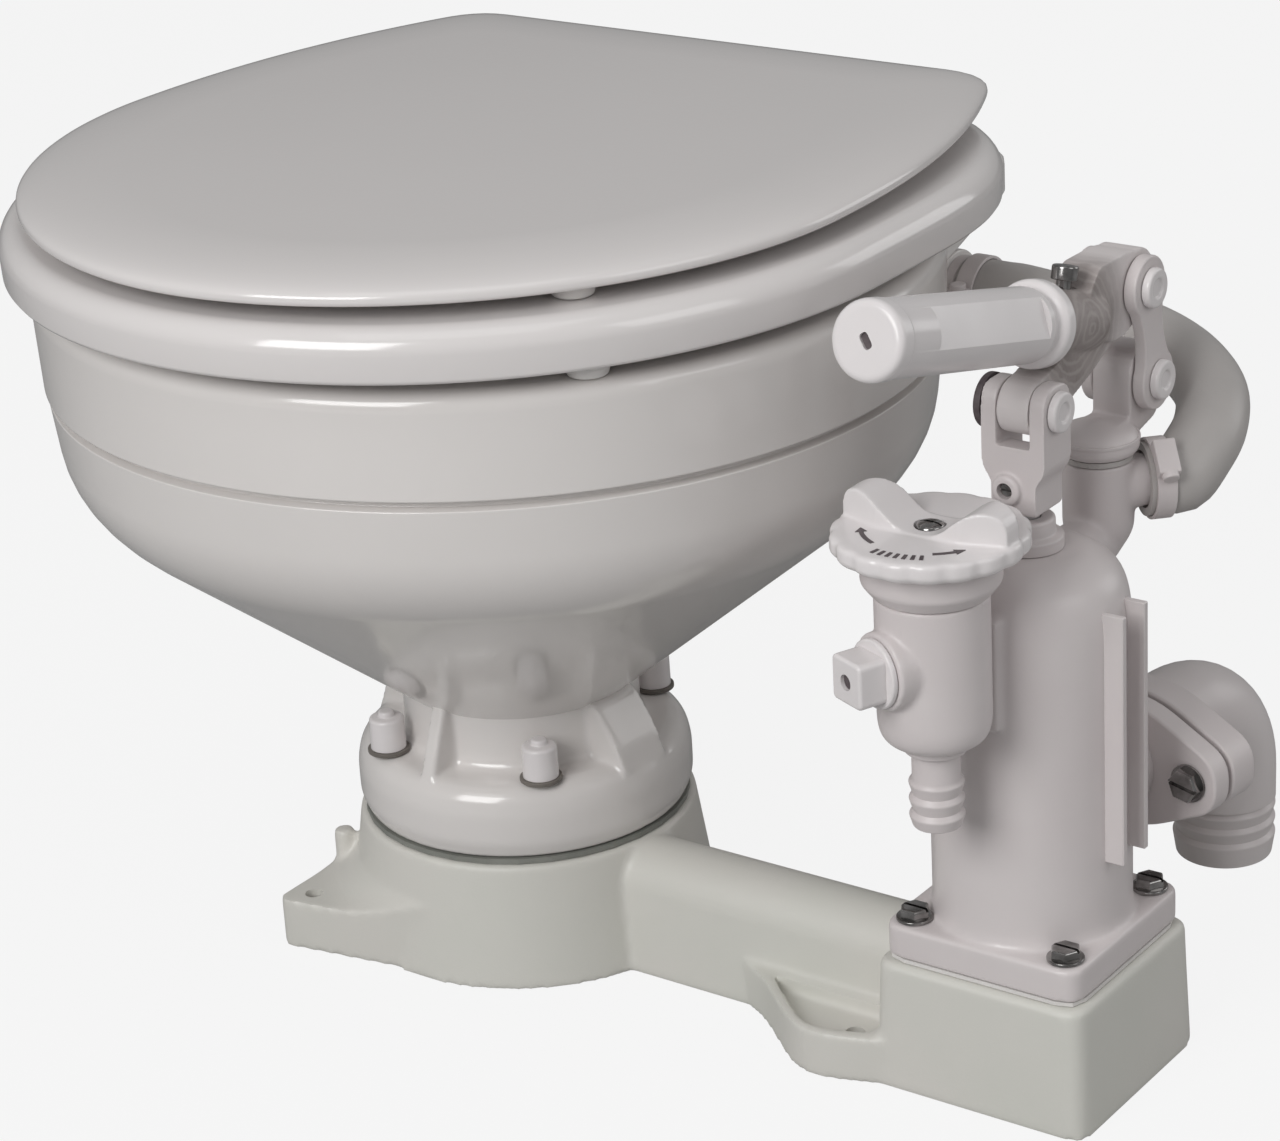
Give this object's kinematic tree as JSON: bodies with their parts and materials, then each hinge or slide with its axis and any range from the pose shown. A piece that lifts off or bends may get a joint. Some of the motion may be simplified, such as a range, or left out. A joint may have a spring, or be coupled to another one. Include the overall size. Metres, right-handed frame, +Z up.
{
  "type": "manual marine toilet",
  "caption": "Manual marine toilet: china bowl with hinged seat and lid on a moulded base, beside a lever-worked piston pump with a flush valve knob, hose and spigots.",
  "frame": {"origin": "on the floor, on the bowl's upright axis", "axes": "+Z up; +X from the bowl toward the pump; -Y to the front of the bowl, where the lever's grip points, and +Y to the hinges"},
  "size_m": [0.4556, 0.3647, 0.3141],
  "materials": {
    "china": "gloss white glaze",
    "seat_enamel": "baked gloss white enamel over wood",
    "base_plastic": "moulded off-white satin",
    "pump_plastic": "moulded white satin",
    "white_plastic": "gloss white",
    "worn_hub": "worn grey-brown",
    "stainless": "plain stainless",
    "screw_chrome": "dark polished screw",
    "seal_rubber": "black seal rubber",
    "bumper_rubber": "white buffer rubber",
    "hose_grey": "grey flexible hose"
  },
  "bodies": {
    "root": {"base": "base_plastic", "bowl_gasket": "seal_rubber", "bowl": "china", "bowl_bolt_1": "white_plastic", "bowl_bolt_2": "white_plastic", "bowl_bolt_3": "white_plastic", "bowl_bolt_4": "white_plastic", "inlet_spud": "pump_plastic", "bowl_hose": "hose_grey", "hose_clamp_pump": "stainless", "hose_clamp_bowl": "stainless", "hinge_post_right": "white_plastic", "hinge_post_left": "white_plastic", "plate_gasket": "seal_rubber", "pump_body": "pump_plastic", "plate_screw_1": "screw_chrome", "plate_screw_2": "screw_chrome", "plate_screw_3": "screw_chrome", "plate_screw_4": "screw_chrome", "gland_nut": "pump_plastic", "top_valve": "seal_rubber", "top_valve_cover": "pump_plastic", "joker_valve": "seal_rubber", "discharge_elbow": "pump_plastic", "flange_bolt_right": "screw_chrome", "flange_bolt_left": "screw_chrome", "valve_housing": "pump_plastic", "valve_collar": "pump_plastic", "side_plug": "pump_plastic", "intake_barb": "pump_plastic"},
    "seat": {"seat": "seat_enamel", "seat_bumper_1": "bumper_rubber", "seat_bumper_2": "bumper_rubber", "seat_bumper_3": "bumper_rubber", "seat_bumper_4": "bumper_rubber", "seat_leaf_right": "white_plastic", "seat_leaf_left": "white_plastic"},
    "lid": {"lid": "seat_enamel", "lid_bumper_1": "bumper_rubber", "lid_bumper_2": "bumper_rubber", "lid_leaf_right": "white_plastic", "lid_leaf_left": "white_plastic"},
    "knob": {"knob": "white_plastic", "knob_screw": "screw_chrome", "valve_spindle": "pump_plastic"},
    "rod": {"piston": "pump_plastic", "piston_ring": "seal_rubber", "piston_rod": "stainless", "clevis": "pump_plastic", "clevis_screw": "screw_chrome", "clevis_pin": "white_plastic"},
    "lever": {"lever_hub": "worn_hub", "set_screw": "screw_chrome", "lever_stem": "stainless", "grip": "pump_plastic", "grip_cap": "white_plastic"},
    "links": {"link_right": "pump_plastic", "link_left": "pump_plastic", "link_pin": "white_plastic", "post_pin": "white_plastic"}
  },
  "joints": [
    {"name": "seat_hinge", "type": "hinge", "parent": "root", "child": "seat", "pos_m": [0, 0.168, 0.297], "axis": [-1, 0, 0], "range_deg": [0, 95]},
    {"name": "lid_hinge", "type": "hinge", "parent": "seat", "child": "lid", "pos_m": [0, 0.168, 0.297], "axis": [-1, 0, 0], "range_deg": [0, 95]},
    {"name": "knob_turn", "type": "hinge", "parent": "root", "child": "knob", "pos_m": [0.227, -0.066, 0.2176], "axis": [0, 0, 1], "range_deg": [0, 90]},
    {"name": "rod_slide", "type": "slide", "parent": "root", "child": "rod", "axis": [0, 0, 1], "range_m": [0, 0.058]},
    {"name": "lever_swing", "type": "hinge", "parent": "rod", "child": "lever", "pos_m": [0.23, -0.009, 0.249], "axis": [-1, 0, 0], "range_deg": [0, 50]},
    {"name": "link_turn", "type": "hinge", "parent": "lever", "child": "links", "pos_m": [0.23, 0.055, 0.273], "axis": [-1, 0, 0], "range_deg": [-50, 0]}
  ],
  "couplings": [
    {"joint": "rod_slide", "follows": "lever_swing", "m_per_rad": 0.0664},
    {"joint": "link_turn", "follows": "lever_swing", "ratio": -1}
  ]
}
